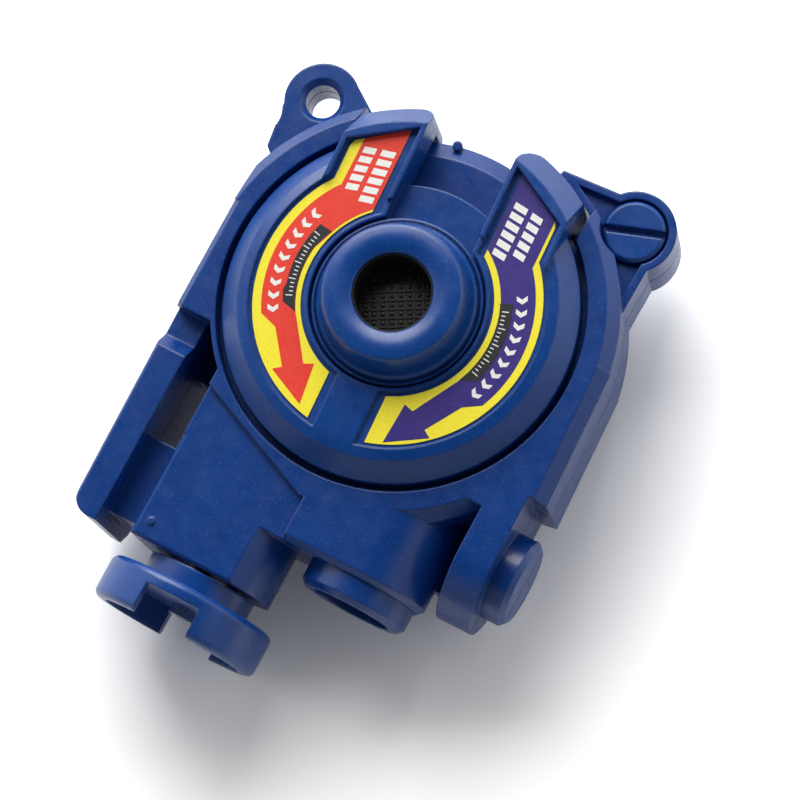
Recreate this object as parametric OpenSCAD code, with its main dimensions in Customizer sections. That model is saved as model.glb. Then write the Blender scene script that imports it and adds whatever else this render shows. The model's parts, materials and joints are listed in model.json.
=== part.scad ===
// Hand-held launcher for a spinning top. A toothed winder pushed through the slot beside the
// arm turns a small gear, and that gear spins the notched cup that holds the top.
// The horned dial on the front picks the spin. Its peg moves a gate at the end of the slot.
// +Z is the dial's axis, +Y points to the horns, and the cup points to -Y.
// The case lies on the round drum at its back, which stands on Z = 0.

/* [Case] */
// Height of the joint plane between the shells, where the spindle lies
joint_z = 12.8; // [12.6:0.1:13.6]
// Height of the front face above the joint plane
face_rise = 9.2; // [9:0.1:10]
// Radius of the round wall
case_r = 30.4; // [30:0.1:31.5]
// Width of the bevel round the front face
face_bevel = 1.8; // [1.2:0.1:2]
// Radius of the well that the dial turns in
well_r = 26; // [25.6:0.1:26.4]
// Depth of the well below the front face
well_depth = 3.2; // [3:0.1:3.4]
// Thickness of the moulded walls and floors
wall = 1.6; // [1.4:0.1:1.8]
// Gap that shows as the parting line between the shells
parting_gap = 0.16; // [0.1:0.02:0.24]
// Distance of the flat left wall from the dial's axis
left_x = 28.8; // [28.4:0.1:29.2]
// Distance of the straight right wall from the dial's axis, at its lower corner
right_x = 31; // [30.6:0.1:31.4]
// How far the wide part of the body reaches below the dial's axis
wide_y = 15.6; // [15:0.1:16.4]
// How far the middle part reaches below the dial's axis
middle_y = 35.9; // [35:0.1:37]
// Height of the lower body's back above the rest face
low_back_z = 3.6; // [3.2:0.1:4]
// Radius of the drum that the case rests on
drum_r = 23; // [22:0.1:24]
// Height of the drum
drum_h = 3; // [2.4:0.1:3.2]

/* [Left block and arm] */
// Drop of the block's face below the front face
block_drop = 0.8; // [0.5:0.1:1.2]
// Distance of the block's left edge from the dial's axis
block_x = 18.8; // [18.4:0.1:19.2]
// How far the block reaches below the dial's axis
block_y = 44.6; // [44:0.1:45.4]
// Radius of the barrel round the spindle
barrel_r = 10.05; // [9.8:0.05:10.4]
// Width of the arm
arm_w = 4.8; // [4.4:0.1:5]
// How far the arm reaches below the dial's axis
arm_y = 45.4; // [45:0.1:46]
// How far the arm's outer side leans in at its lower end
arm_lean = 0.5; // [0:0.1:0.8]
// Radius of the arm's lower outer corner
arm_corner_r = 3; // [2:0.1:3.4]
// Where the recess beside the arm begins
arm_root_y = 13.4; // [13:0.1:14]
// Drop of the arm's root below the block's face
arm_root_drop = 2; // [1.4:0.1:2.4]
// Lower end of the slot between the arm and the block
slot_end_y = 31; // [30.6:0.1:32]
// Drop of the web that closes the slot, below the block's face
web_drop = 4.2; // [3.6:0.1:5]

/* [Right ear] */
// Left side of the ear
ear_x0 = 23.3; // [23:0.1:23.8]
// Right side of the ear
ear_x1 = 28.4; // [28:0.1:28.8]
// Distance of the ear's centre below the dial's axis
ear_y = 25.8; // [25.4:0.1:26.4]
// Radius of the trunnion on the ear
trunnion_r = 6.4; // [6:0.1:6.6]
// Right end of the trunnion
trunnion_x = 32; // [31.6:0.1:32.6]
// Upper end of the recess beside the ear
bay_y = 19.6; // [19.4:0.1:20.2]
// Width of the slant in the recess's upper left corner, from the socket's axis
bay_slant_x = 7.2; // [6.6:0.1:7.8]
// Height of the slant in the recess's upper left corner
bay_slant_y = 5.9; // [5.4:0.1:6.4]

/* [Lug and eyelet at the top] */
// Distance of the lug's centre from the dial's axis, across
lug_x = 23.3; // [23:0.1:23.8]
// Distance of the lug's centre above the dial's axis
lug_y = 24.8; // [24.4:0.1:25.4]
// Radius of the lug
lug_r = 5.9; // [5.7:0.1:6.2]
// Half the thickness of the lug and its web
lug_half = 5.3; // [5:0.1:5.6]
// Distance of the eyelet's hole from the dial's axis, across
eye_x = 26.3; // [26:0.1:26.8]
// Distance of the eyelet's hole above the dial's axis
eye_y = 23.2; // [22.8:0.1:23.6]
// Radius of the eyelet
eye_r = 5.5; // [5.3:0.1:5.7]
// Radius of the eyelet's hole
eye_hole_r = 2.5; // [2.3:0.1:2.7]
// Half the thickness of the eyelet
eye_half = 3.35; // [3:0.05:3.6]

/* [Dial] */
// Radius of the dial's rim
dial_r = 25; // [24.6:0.1:25.2]
// Radius of the crest inside the sloping rim
crest_r = 22.4; // [22:0.1:22.8]
// Height of the dial's top above the front face
dial_rise = 3.5; // [3.2:0.1:3.8]
// Depth of the label recesses
label_recess = 0.5; // [0.3:0.05:0.6]
// Depth of the channel between the horns, below the dial's top
channel_depth = 2; // [1.6:0.1:2.1]
// Half the width of the channel between the horns
channel_half = 6.7; // [6.4:0.1:7]
// Distance of the horns' outer sides from the dial's middle line
horn_side = 17.1; // [16.8:0.1:17.4]
// Radius of the horns at their top
horn_top_r = 25.7; // [25.4:0.1:26]
// Outer radius of the lips that the horns hang over the case
lip_r = 29.1; // [28.8:0.1:29.4]
// Distance of the lips' lower edge above the joint plane
lip_low = 1.3; // [1:0.1:2]
// Height of the lips' outer wall
lip_wall_h = 7.4; // [6.6:0.1:7.8]
// Height of the horns above the dial's top
horn_rise = 0.6; // [0.4:0.1:1]
// Half the width of the bridge between the label recesses
bridge_half = 3.1; // [2.8:0.1:3.4]
// Turn of the dial between its two places, in degrees. It is shown at the right spin end
dial_travel = 3.1; // [2.6:0.1:3.4]
// Radius of the hub's cap at its foot
cap_r = 10.5; // [10.2:0.1:10.8]
// Height of the cap's top above the front face
cap_rise = 8.4; // [8:0.1:8.8]
// Radius of the finger hole in the cap
cap_hole_r = 5.6; // [5.3:0.1:5.8]

/* [Drive] */
// Module of the two gears
gear_module = 0.8; // [0.78:0.01:0.82]
// Teeth of the drive gear
drive_teeth = 10; // [10:1:10]
// Teeth of the spindle's gear
spindle_teeth = 8; // [8:1:8]
// Width of the gears
gear_face = 4; // [3.6:0.1:4.2]
// Radius of the steel shafts
shaft_r = 1.75; // [1.6:0.05:1.9]
// Running clearance between a shaft and its bush
run_gap = 0.05; // [0.03:0.01:0.08]

/* [Spindle head] */
// Distance of the spindle's axis from the dial's axis
spindle_x = 8.6; // [8.5:0.1:8.7]
// Radius of the cup
cup_r = 12.5; // [12:0.1:12.5]
// Inner radius of the cup
cup_bore_r = 10.5; // [10.2:0.1:10.6]
// Length of the cup along the spindle
cup_len = 6.4; // [6:0.1:6.6]
// Depth of the cup and of its two notches
cup_depth = 4.3; // [4.2:0.1:4.4]
// Width of the notches
notch_w = 8.2; // [7.6:0.1:8.6]
// Turn of the notches as they were left, in degrees
notch_turn = 3; // [-10:1:10]
// Radius of the neck behind the cup
neck_r = 8; // [7.6:0.1:8.4]
// Length of the neck that shows
neck_len = 2.7; // [2.4:0.1:3]

/* [Side socket] */
// Distance of the socket's axis from the dial's axis
socket_x = 12; // [11.8:0.1:12.2]
// Outer radius of the socket's tube
socket_r = 8; // [7.8:0.1:8.1]
// Bore of the socket
socket_bore_r = 5.85; // [5.6:0.05:6]
// How far the socket stands out below the body
socket_out = 3.6; // [3.2:0.1:4]

/* [Hidden] */
$fn = 96;

case_blue = "#1f458c";
dial_blue = "#214a94";

// Small clearances, overruns and hardware
cut = 0.5;
fit = 0.03;
cavity_share = 0.6;
seat_gap = 0.1;
glide_h = 0.5;
small_bevel = 0.8;
left_bevel = 0.9;
right_slant = 0.8;
screw_r = 1.2;
screw_head_r = 2.1;
screw_head_h = 1.5;
boss_r = 2.7;
small_screw_r = 0.8;
clip_mouth_share = 0.8;
hex_count = 6;

// Levels of the case
face_z = joint_z + face_rise;
well_z = face_z - well_depth;
well_under_z = well_z - wall;
block_z = face_z - block_drop;
back_z = drum_h;
ear_r = face_rise;
front_joint_z = joint_z + parting_gap / 2;
back_joint_z = joint_z - parting_gap / 2;
arm_x = left_x - arm_w;
web_z = block_z - web_drop;
arm_root_z = block_z - arm_root_drop;
cavity_r = well_r - cavity_share * wall;
drum_cavity_r = drum_r - wall;

// Levels of the dial
dial_z = face_z + dial_rise;
dial_under_z = well_z + glide_h + seat_gap;
rim_z = face_z + seat_gap * 2;
label_z = dial_z - label_recess;
channel_z = dial_z - channel_depth;
horn_z = dial_z + horn_rise;
lip_z = joint_z + lip_low;
cap_z = face_z + cap_rise;
hub_foot_r = cap_r + 1.2 * small_bevel;
hub_step_z = label_z + seat_gap * 2;
shelf_r = 17.3;
glide_r = 16.6;
horn_root_r = 14.6;
label_in_r = 12.9;
label_out_r = 20.8;
trench_r = hub_foot_r + 1.1 * small_bevel;

// Recess in the case's rim that the lips move in. Its two ends stop the dial
rim_r = well_r - 2 * seat_gap;
lip_in_r = rim_r + 3 * seat_gap;
lip_corner_r = 2.2;
stop_gap = 0.3;
stop_right_x = horn_side + stop_gap;
stop_left_x = horn_side * cos(dial_travel)
    + sqrt(lip_r * lip_r - horn_side * horn_side) * sin(dial_travel) + stop_gap;

// Post, washer and pad under the cap
post_r = 4.4;
post_z = face_z + seat_gap * 5;
sleeve_r = post_r + run_gap;
washer_r = 5.9;
washer_h = 0.6;
pad_r = 6.9;
top_round = 3;
mouth_round = 0.9;
pad_h = 1;
pad_z = post_z + washer_h + screw_head_h + seat_gap;

// Gears in the block, and the slot's opening to the drive gear
drive_pitch_r = gear_module * drive_teeth / 2;
spindle_pitch_r = gear_module * spindle_teeth / 2;
drive_x = spindle_x + drive_pitch_r + spindle_pitch_r;
tip_share = 0.8;
root_share = 1.15;
tooth_share = 0.44;
tip_width_share = 0.2;
root_width_share = 0.6;
drive_pocket_r = drive_pitch_r + gear_module + seat_gap * 3;
axle_r = 1;

// Gate at the end of the slot, with the peg that moves it
peg_x = 19;
peg_y = 6.2;
peg_r = 1.4;
peg_len = 4.2;
peg_z = dial_under_z - peg_len;
gate_stroke = peg_x * sin(dial_travel);
gate_x = 21.4;
gate_half = 1.2;
gate_rise = 2.6;
gate_z = low_back_z + gate_rise;
gate_h = 1.8;
gate_top_gap = 0.6;
gate_top_z = well_under_z - gate_top_gap;
gate_post_half = 2.7;
gate_slack = 0.1;
peg_drift = 0.4;

// Bushes and the spindle's stations along Y
bush_wall = 1.8;
cup_edge = 1.1;
bush_r = shaft_r + run_gap + bush_wall;
bush_len = 3;
bush_lead = 0.7;
bush_y = bay_y - bush_lead;
outer_bush_len = 6;
thrust_h = 0.3;
thrust_r = 4;
gear_y = bush_y + bush_len + wall;
head_y = -block_y - seat_gap * 2 - thrust_h;
cup_y = head_y - neck_len;
cup_end_y = cup_y - cup_len;
cup_floor_y = cup_end_y + cup_depth;
channel_r = 4.6;
shaft_start_y = -bush_y + wall;
shaft_end_y = cup_floor_y + wall;
socket_bed = 10.4;
recess_z = 9;
slot_y = 20;
root_len = 4.1;
peg_at_r = sqrt(peg_x * peg_x + peg_y * peg_y);
peg_spread = (peg_r + stop_gap) / peg_at_r * 180 / PI;
sill_w = 2.7;
sill_drop = 2.2;
nub_x = 4.9;
nub_y = 25.1;
nub_r = 0.7;
nub_drop = 3.2;
mark_x = 16.8;
mark_y = 42;
mark_r = 0.55;
mark_h = 0.25;
lug_rim = 1.1;
lug_floor_drop = 1;
pin_r = 2.2;
pin_head_r = 4.4;
pin_head_h = 2;
pin_sink = 0.8;
pin_slot_w = 1.1;
pin_slot_d = 0.9;
pin_turn = 18;
pin_clip_h = 0.8;
label_frame = 0.7;
label_margin = 0.6;
label_side_margin = 1.25;
label_tip_share = 0.93;
label_shoulder_share = 0.72;
label_t = 0.15;
recess_wall = 0.7;
recess_r = well_r + recess_wall;
shelf_z = 8;
shelf_y = 31.4;

// Outlines of the lug's web and the eyelet's foot, as shares of their radii from their centres
web_top_shares = [[-2.2, 0.62], [-0.4, 0.7]];
web_side_shares = [[0.7, -0.5], [0.66, -2]];
eye_foot_shares = [[-0.91, -0.2], [-0.7, -1.72], [-0.34, -2.04], [1.1, -1], [1.44, 0.2], [0.5, 0.86]];
eye_flare_shares = [-1.52, -0.98, 0.76];

// Case screws, as places on the body
screw_places = [[21.2, 14.7], [-21.2, 14.7], [25.6, -6.4], [-15.9, -41.6], [1.2, -32.6]];
screw_bite = 3;
screw_tip_z = joint_z + screw_bite;
screw_seat_z = 5;

function polar(r, a) = [r * cos(a), r * sin(a)];

// Outline of a small spur gear with straight-sided teeth, its first tooth on +X
module gear_outline(teeth) {
    pitch_r = gear_module * teeth / 2;
    half_pitch = 180 / teeth;
    tip = pitch_r + tip_share * gear_module;
    root = pitch_r - root_share * gear_module;
    polygon([for (i = [0 : teeth - 1]) for (p = [[-root_width_share, root], [-tooth_share, pitch_r],
        [-tip_width_share, tip], [tip_width_share, tip], [tooth_share, pitch_r], [root_width_share, root]])
        polar(p[1], (2 * i + p[0]) * half_pitch)]);
}

// Cylinder along -Y, starting at a place
module rod_y(r, y0, len) {
    translate([0, y0, 0]) rotate([90, 0, 0]) cylinder(r = r, h = len);
}

// Three-sided prism that bevels the top edge running from a to b, with the body on its left
module edge_bevel(a, b, z, size) {
    d = b - a;
    run = norm(d);
    translate([a[0], a[1], z]) rotate([0, 0, atan2(d[1], d[0])]) translate([-cut, 0, 0])
        rotate([90, 0, 90]) linear_extrude(run + 2 * cut)
            polygon([[size + cut, cut], [-cut, cut], [-cut, -size - cut]]);
}

// Outline of the lower body, with a slant in the corner of the recess beside the ear
module body_outline() {
    polygon([[-left_x, 0], [-left_x, -arm_root_y], [-block_x, -arm_root_y - wall], [-block_x, -middle_y],
        [socket_x, -middle_y], [socket_x, -bay_y - bay_slant_y], [socket_x + bay_slant_x, -bay_y],
        [ear_x0, -bay_y], [ear_x0, -ear_y], [ear_x1, -ear_y],
        [ear_x1, -wide_y], [right_x, -wide_y], [right_x - right_slant, 3 * wall], [0, 3 * wall]]);
}

// Barrel round the socket, which rounds the body's side between two levels
module socket_barrel(z0, z1) {
    len = middle_y - bay_y + wall;
    intersection() {
        translate([socket_x, -middle_y + len, joint_z]) rotate([90, 0, 0]) {
            cylinder(r = face_rise, h = len - small_bevel);
            translate([0, 0, len - small_bevel])
                cylinder(r1 = face_rise, r2 = face_rise - small_bevel, h = small_bevel);
        }
        translate([socket_x, -middle_y - cut, z0]) cube([2 * face_rise, middle_y, z1 - z0]);
    }
}

// The block round the spindle and the barrel at its end, between two levels
module block(z0, z1) {
    translate([-block_x, -block_y, z0]) cube([block_x - spindle_x, block_y - middle_y + wall, z1 - z0]);
    intersection() {
        translate([-spindle_x, -middle_y + wall, joint_z])
            rotate([90, 0, 0]) cylinder(r = barrel_r, h = block_y - middle_y + wall);
        translate([-left_x, -block_y, z0]) cube([2 * left_x, block_y, z1 - z0]);
    }
}

// Plan of the arm, with a rounded outer corner and an outer side that leans in
module arm_plan() {
    corner = [-left_x + arm_lean + arm_corner_r, -arm_y + arm_corner_r];
    intersection() {
        union() {
            polygon([[-left_x, -arm_root_y + cut], [-left_x + arm_lean, corner[1]], [corner[0], corner[1]],
                [corner[0], -arm_y], [-arm_x, -arm_y], [-arm_x, -arm_root_y + cut]]);
            translate(corner) circle(arm_corner_r);
        }
        translate([-left_x, -arm_y]) square([arm_w, arm_y]);
    }
}

// Plan of the web that closes the slot's lower end
module web_plan() {
    translate([-arm_x - cut, -block_y + wall])
        square([arm_x - block_x + 2 * cut, block_y - wall - slot_end_y]);
}

// Plan of the recess between the arm's root and the well's wall
module recess_plan() {
    difference() {
        translate([-arm_x, -slot_end_y]) square([arm_x - block_x, slot_end_y - arm_root_y]);
        circle(recess_r);
    }
}

// The round ear with its trunnion, between two levels
module ear(z0, z1) {
    intersection() {
        translate([0, -ear_y, joint_z]) rotate([0, 90, 0]) {
            translate([0, 0, ear_x0]) cylinder(r = ear_r, h = ear_x1 - ear_x0);
            translate([0, 0, ear_x0]) cylinder(r = trunnion_r, h = trunnion_x - ear_x0 - small_bevel);
            translate([0, 0, trunnion_x - small_bevel])
                cylinder(r1 = trunnion_r, r2 = trunnion_r - small_bevel, h = small_bevel);
        }
        translate([0, -2 * ear_y, z0]) cube([2 * trunnion_x, 2 * ear_y, z1 - z0]);
    }
}

// Web and round of the lug at the top right, drawn in by a margin
module lug_plan(margin) {
    difference() {
        union() {
            polygon(concat([for (s = web_top_shares) [lug_x + s[0] * lug_r, lug_y + s[1] * lug_r - margin]],
                [for (s = web_side_shares) [lug_x + s[0] * lug_r - margin, lug_y + s[1] * lug_r]], [[0, 0]]));
            translate([lug_x, lug_y]) circle(lug_r - margin);
        }
        // Room for the right lip
        intersection() {
            circle(lip_r + stop_gap);
            translate([-2 * case_r, 0]) square([2 * case_r + stop_right_x, 2 * case_r]);
        }
    }
}

// Plan of the eyelet with its straight right side and its flared foot
module eyelet_plan() {
    difference() {
        union() {
            translate([-eye_x, eye_y]) circle(eye_r);
            polygon([for (s = eye_foot_shares) [-eye_x + s[0] * eye_r, eye_y + s[1] * eye_r]]);
        }
        translate([-eye_x + eye_flare_shares[0] * eye_r, eye_y + eye_flare_shares[1] * eye_r])
            circle(eye_flare_shares[2] * eye_r);
    }
}

// Plan of the recess that the lips move in, outside a radius and drawn out by a margin at its ends
module lip_room_plan(inner_r, margin) {
    difference() {
        translate([-stop_left_x - margin, 0]) square([stop_left_x + stop_right_x + 2 * margin, 2 * case_r]);
        circle(inner_r);
    }
}

// Seats of the spindle's bushes, the passage between them, the gears' pocket and the socket's bed
module spindle_passage() {
    translate([-spindle_x, 0, joint_z]) {
        rod_y(channel_r, -bush_y - bush_len, block_y - outer_bush_len - bush_y - bush_len);
        rod_y(bush_r + fit, -bush_y + cut, bush_len + cut);
        rod_y(bush_r + fit, -block_y + outer_bush_len, outer_bush_len + cut);
    }
    translate([-drive_x, 0, joint_z]) {
        rod_y(drive_pocket_r, -gear_y + seat_gap * 2, gear_face + seat_gap * 4);
        rod_y(axle_r + fit / 2, -gear_y + 2 * wall, gear_face + 4 * wall);
    }
    translate([socket_x, -middle_y + socket_bed, joint_z]) rod_y(socket_r + fit, 0, 2 * socket_bed);
}

// Round hollow between two levels, less the screw bosses, the spindle's bearing and the lips' recess
module room(z0, z1, r) {
    translate([0, 0, z0]) linear_extrude(z1 - z0) difference() {
        circle(r);
        for (p = screw_places) translate(p) circle(boss_r);
        lip_room_plan(rim_r - 1.5 * wall, wall);
        translate([-spindle_x - bush_r - wall, -2 * well_r])
            square([2 * bush_r + 2 * wall, 2 * well_r - bush_y]);
    }
}

// Round body of a shell, with a bevel at its outer face
module round_body(z_joint, z_face, bevel) {
    intersection() {
        union() {
            translate([0, 0, z_joint]) mirror([0, 0, z_face < z_joint ? 1 : 0])
                cylinder(r = case_r, h = abs(z_face - z_joint) - bevel);
            translate([0, 0, z_face]) mirror([0, 0, z_face < z_joint ? 0 : 1])
                cylinder(r1 = case_r - bevel, r2 = case_r, h = bevel);
        }
        translate([-left_x, -case_r, 0]) cube([2 * case_r, 2 * case_r, face_z]);
    }
}

module front_shell() {
    color(case_blue) difference() {
        union() {
            difference() {
                union() {
                    round_body(front_joint_z, face_z, face_bevel);
                    translate([0, 0, front_joint_z]) linear_extrude(eye_half - parting_gap / 2) eyelet_plan();
                }
                lip_room();
            }
            translate([0, 0, front_joint_z]) linear_extrude(face_z - front_joint_z) body_outline();
            socket_barrel(front_joint_z, face_z);
            block(front_joint_z, block_z);
            ear(front_joint_z, face_z);
            translate([0, 0, front_joint_z]) {
                linear_extrude(block_z - front_joint_z) arm_plan();
                linear_extrude(web_z - front_joint_z) web_plan();
                linear_extrude(lug_half - parting_gap / 2) lug_plan(0);
            }
        }
        front_face_cuts();
        front_inside_cuts();
    }
    color(case_blue) front_posts();
    color(case_blue) translate([-nub_x, nub_y, well_z - nub_drop]) cylinder(r = nub_r, h = nub_drop - cut);
    color(case_blue) translate([-mark_x, -mark_y, block_z - cut]) cylinder(r = mark_r, h = mark_h + cut);
}

module front_face_cuts() {
    translate([0, 0, well_z]) cylinder(r = well_r, h = face_z);
    // Bevels along the straight edges
    edge_bevel([-left_x, 2 * wall], [-left_x, -arm_root_y], face_z, left_bevel);
    edge_bevel([right_x, -wide_y], [right_x - right_slant, 3 * wall], face_z, face_bevel);
    intersection() {
        edge_bevel([small_bevel, -middle_y], [socket_x, -middle_y], face_z, small_bevel);
        translate([0, -2 * middle_y, 0]) cube([socket_x, 2 * middle_y, 2 * face_z]);
    }
    edge_bevel([-left_x, -arm_root_y], [-left_x + arm_lean, -arm_y], block_z, small_bevel / 2);
    edge_bevel([-block_x, -slot_end_y + wall], [-block_x, -block_y], block_z, small_bevel / 2);
    edge_bevel([-block_x, -block_y], [0, -block_y], block_z, small_bevel / 2);
    crease();
    // The low root of the arm
    root_rise = face_z - arm_root_z + cut;
    translate([-left_x - cut, -arm_root_y, arm_root_z]) rotate([90, 0, 90]) linear_extrude(arm_w + 2 * cut)
        polygon([[0, 0], [-root_len, 0], [-root_len - root_rise, root_rise], [0, root_rise]]);
    // Recess of the lug inside its raised rim
    translate([0, 0, joint_z + lug_half - lug_floor_drop]) linear_extrude(face_z) difference() {
        lug_plan(lug_rim);
        circle(case_r);
    }
    // Dished mouth and bore of the eyelet
    translate([-eye_x, eye_y, 0]) {
        cylinder(r = eye_hole_r, h = face_z);
        translate([0, 0, joint_z + eye_half - small_bevel])
            cylinder(r1 = eye_hole_r, r2 = eye_hole_r + small_bevel + cut, h = small_bevel + cut);
    }
    translate([lug_x, lug_y, 0]) cylinder(r = pin_r + run_gap, h = face_z);
    translate([lug_x, lug_y, joint_z + lug_half - lug_floor_drop - pin_sink])
        cylinder(r = pin_head_r + 2 * seat_gap, h = face_z);
}

// Recess in the rim where the lips move, with a sloping sill inside it
module lip_room() {
    sill_r = well_r - sill_w;
    translate([0, 0, joint_z - cut]) linear_extrude(face_z) lip_room_plan(rim_r, 0);
    intersection() {
        rotate_extrude() polygon([[sill_r, face_z], [sill_r, well_z], [rim_r + cut, well_z - sill_drop],
            [rim_r + cut, face_z]]);
        translate([-stop_left_x, 0, 0]) cube([stop_left_x + stop_right_x, 2 * case_r, 2 * face_z]);
    }
}

// The block's lower face, with a bevelled step up to the front face
module crease() {
    a = [-block_x - cut, -bay_y - wall];
    b = [0, -middle_y + 4 * wall];
    translate([0, 0, block_z]) linear_extrude(face_z)
        polygon([a, b, [small_bevel, b[1]], [small_bevel, -middle_y - cut],
            [-block_x - cut, -middle_y - cut]]);
}

module front_inside_cuts() {
    // Slot and recess beside the arm
    translate([0, 0, joint_z - cut]) linear_extrude(face_z) recess_plan();
    room(joint_z - cut, well_under_z, cavity_r);
    spindle_passage();
    // Opening for the dial's peg
    rotate([0, 0, 180 + atan2(peg_y, peg_x) - dial_travel - peg_spread]) translate([0, 0, joint_z])
        rotate_extrude(angle = dial_travel + 2 * peg_spread)
        translate([peg_at_r - peg_r - stop_gap, 0])
        square([2 * peg_r + 2 * stop_gap, well_z - joint_z + cut]);
    for (p = screw_places) translate([p[0], p[1], 0])
        cylinder(r = screw_r + run_gap, h = screw_tip_z + small_bevel);
    cylinder(r = screw_r + run_gap, h = face_z);
}

// The dial's post
module front_posts() {
    difference() {
        union() {
            translate([0, 0, well_z - cut]) cylinder(r = post_r, h = post_z - well_z + cut);
            translate([0, 0, well_under_z - 2 * wall]) cylinder(r = boss_r, h = 2 * wall + cut);
        }
        translate([0, 0, well_under_z - 3 * wall]) cylinder(r = screw_r + run_gap, h = face_z);
    }
}

module back_shell() {
    color(case_blue) difference() {
        union() {
            difference() {
                union() {
                    round_body(back_joint_z, back_z, face_bevel);
                    translate([0, 0, joint_z - eye_half])
                        linear_extrude(eye_half - parting_gap / 2) eyelet_plan();
                }
                linear_extrude(face_z) lip_room_plan(rim_r, 0);
            }
            cylinder(r = drum_r, h = drum_h + wall);
            translate([-arm_x - cut, -slot_y, low_back_z])
                cube([arm_x - block_x + 2 * cut, slot_y - arm_root_y + cut, back_joint_z - low_back_z]);
            translate([0, 0, low_back_z]) linear_extrude(back_joint_z - low_back_z) body_outline();
            socket_barrel(low_back_z, back_joint_z);
            translate([0, 0, low_back_z]) linear_extrude(shelf_z - low_back_z) shelf_plan();
            block(low_back_z, back_joint_z);
            ear(joint_z - ear_r, back_joint_z);
            translate([0, 0, low_back_z]) linear_extrude(back_joint_z - low_back_z) {
                arm_plan();
                web_plan();
            }
            translate([0, 0, joint_z - lug_half]) linear_extrude(lug_half - parting_gap / 2) lug_plan(0);
        }
        // Slot through the body, and the recess above it
        intersection() {
            linear_extrude(face_z) recess_plan();
            union() {
                translate([-arm_x, -slot_end_y, 0]) cube([arm_x - block_x, slot_end_y - slot_y, face_z]);
                translate([-arm_x, -slot_end_y, recess_z]) cube([arm_x - block_x, slot_end_y, face_z]);
            }
        }
        // Bevels along the straight lower edges
        translate([0, 0, low_back_z]) mirror([0, 0, 1]) {
            edge_bevel([right_x, -wide_y], [right_x - right_slant, 3 * wall], 0, face_bevel);
            edge_bevel([-left_x, 2 * wall], [-left_x, -arm_root_y], 0, left_bevel);
            edge_bevel([-left_x, -arm_y], [-arm_x, -arm_y], 0, wall);
        }
        difference() {
            union() {
                room(back_z + wall, face_z, cavity_r);
                room(wall, face_z, drum_cavity_r);
            }
            gate_bed();
        }
        spindle_passage();
        gate_slit();
        for (p = screw_places) translate([p[0], p[1], -cut]) {
            cylinder(r = screw_r + run_gap, h = face_z);
            cylinder(r = screw_head_r + seat_gap, h = screw_seat_z + cut);
        }
        translate([-eye_x, eye_y, 0]) cylinder(r = eye_hole_r, h = face_z);
        translate([lug_x, lug_y, 0]) {
            cylinder(r = pin_r + run_gap, h = face_z);
            cylinder(r = pin_head_r, h = joint_z - lug_half + pin_clip_h + seat_gap);
        }
    }
}

// Plan of the low shelf between the barrel and the ear
module shelf_plan() {
    translate([socket_x, -shelf_y]) square([ear_x0 - socket_x + cut, shelf_y - bay_y + cut]);
}

// Pad that the gate slides on, and the close slit that leads it into the slot
module gate_bed() {
    translate([-peg_x - gate_post_half - cut, -peg_y - gate_post_half - wall, 0])
        cube([2 * gate_post_half + 2 * cut, 2 * gate_post_half + 2 * wall, gate_z - run_gap]);
}

module gate_slit() {
    translate([-gate_x - gate_half - run_gap, -slot_y - wall, gate_z - run_gap])
        cube([2 * gate_half + 2 * run_gap, slot_y + wall - peg_y - gate_post_half, gate_h + 2 * run_gap]);
}

module case_screws() {
    color("silver") for (p = screw_places) translate([p[0], p[1], screw_seat_z - screw_head_h]) difference() {
        union() {
            cylinder(r = screw_head_r, h = screw_head_h);
            cylinder(r = screw_r, h = screw_tip_z - screw_seat_z + screw_head_h);
        }
        translate([0, 0, -cut]) cylinder(r = screw_r, h = screw_head_h / 2 + cut, $fn = hex_count);
    }
}

// Bush along -Y for the spindle's shaft
module spindle_bush(y, len) {
    translate([-spindle_x, y, joint_z]) rotate([90, 0, 0]) difference() {
        cylinder(r = bush_r, h = len);
        translate([0, 0, -cut]) cylinder(r = shaft_r + run_gap, h = len + 2 * cut);
    }
}

module inner_spindle_bush() {
    color("goldenrod") spindle_bush(-bush_y, bush_len);
}

module outer_spindle_bush() {
    color("goldenrod") spindle_bush(-block_y + outer_bush_len, outer_bush_len);
}

module drive_axle() {
    color("silver") translate([-drive_x, -gear_y + 2 * wall - seat_gap, joint_z]) rotate([90, 0, 0])
        cylinder(r = axle_r, h = gear_face + 4 * wall - 2 * seat_gap);
}

module thrust_washer() {
    color("silver") translate([-spindle_x, -block_y - seat_gap, joint_z]) rotate([90, 0, 0]) difference() {
        cylinder(r = thrust_r, h = thrust_h);
        translate([0, 0, -cut]) cylinder(r = shaft_r + run_gap, h = thrust_h + 2 * cut);
    }
}

module socket_tube() {
    len = socket_bed + socket_out - fit;
    place = [socket_x, -middle_y + socket_bed - fit, joint_z];
    color(case_blue) translate(place) rotate([90, 0, 0]) difference() {
        union() {
            cylinder(r = socket_r, h = len - small_bevel);
            translate([0, 0, len - small_bevel])
                cylinder(r1 = socket_r, r2 = socket_r - small_bevel, h = small_bevel);
        }
        translate([0, 0, wall]) cylinder(r = socket_bore_r, h = len);
    }
}

module glide_ring() {
    color("white") translate([0, 0, well_z]) difference() {
        cylinder(r = glide_r, h = glide_h);
        translate([0, 0, -cut]) cylinder(r = glide_r - wall, h = glide_h + 2 * cut);
    }
}

module dial_washer() {
    color("silver") translate([0, 0, post_z]) difference() {
        cylinder(r = washer_r, h = washer_h);
        translate([0, 0, -cut]) cylinder(r = screw_r + run_gap, h = washer_h + 2 * cut);
    }
}

module dial_screw() {
    seat_z = post_z + washer_h;
    start_z = well_under_z - wall;
    color("silver") difference() {
        union() {
            translate([0, 0, start_z]) cylinder(r = screw_r, h = seat_z - start_z);
            translate([0, 0, seat_z]) cylinder(r = screw_head_r, h = screw_head_h);
        }
        translate([0, 0, seat_z + screw_head_h / 2]) cylinder(r = screw_r, h = screw_head_h, $fn = hex_count);
    }
}

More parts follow.
